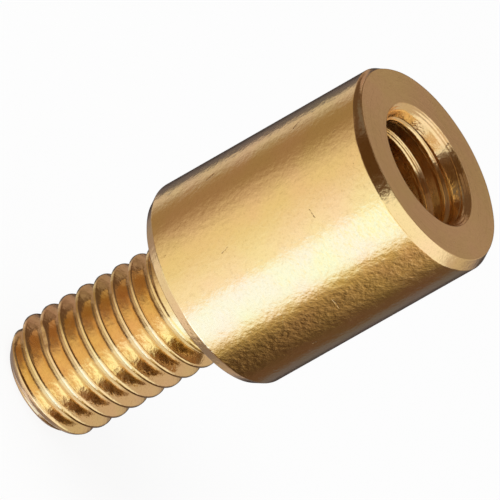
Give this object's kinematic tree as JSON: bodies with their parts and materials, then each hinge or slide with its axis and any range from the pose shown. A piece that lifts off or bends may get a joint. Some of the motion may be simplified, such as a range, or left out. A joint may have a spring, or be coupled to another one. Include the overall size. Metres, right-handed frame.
{
  "type": "round standoff",
  "caption": "Round male-female standoff: a plain chamfered barrel with a threaded stud below and a countersunk, tapped blind socket on top.",
  "frame": {"origin": "centre of the flat shoulder ring that seats on a panel, where the stud leaves the barrel", "axes": "+Z along the axis, through the barrel and out of the socket's mouth; the stud points down -Z, and the part stands on its flat tip; turned all round, so X and Y are free"},
  "size_m": [0.01, 0.01, 0.0219],
  "materials": {
    "brass": "tumbled, semi-bright turned brass"
  },
  "bodies": {
    "root": {"standoff": "brass"}
  },
  "joints": []
}
